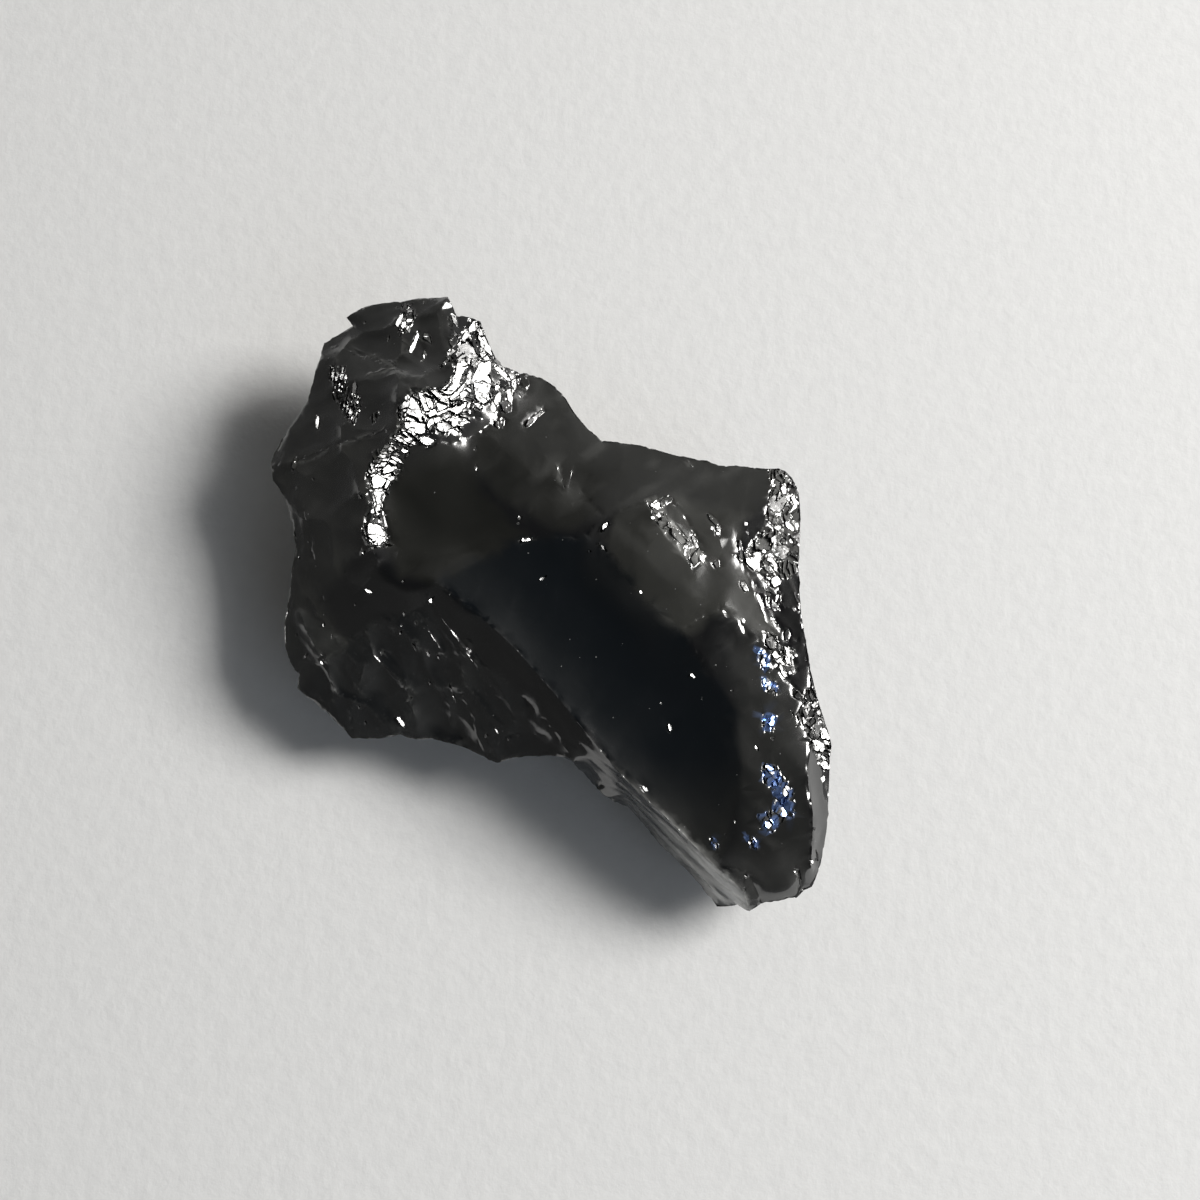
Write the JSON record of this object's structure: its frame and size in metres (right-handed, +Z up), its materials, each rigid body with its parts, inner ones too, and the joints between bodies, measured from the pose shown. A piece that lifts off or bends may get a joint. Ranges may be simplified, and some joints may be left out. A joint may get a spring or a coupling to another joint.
{
  "type": "shungite nugget",
  "caption": "Irregular shard of glassy black shungite with a scooped shell-like fracture, a sharp spine, a raised hackly cap and crumbled edges, lying on its flat underside.",
  "frame": {"origin": "under the middle of the bounding box, on the surface it rests on", "axes": "+Z up, resting flat on Z = 0; +Y towards the raised cap at the back, along the longer side of the footprint; +X towards the crumbled right edge"},
  "size_m": [0.0348, 0.0378, 0.0105],
  "materials": {
    "shungite": "near-black glassy stone with a semi-metallic lustre, smooth on the shell-like hollows and splintery where it is hackly"
  },
  "bodies": {
    "root": {"nugget": "shungite"}
  },
  "joints": []
}
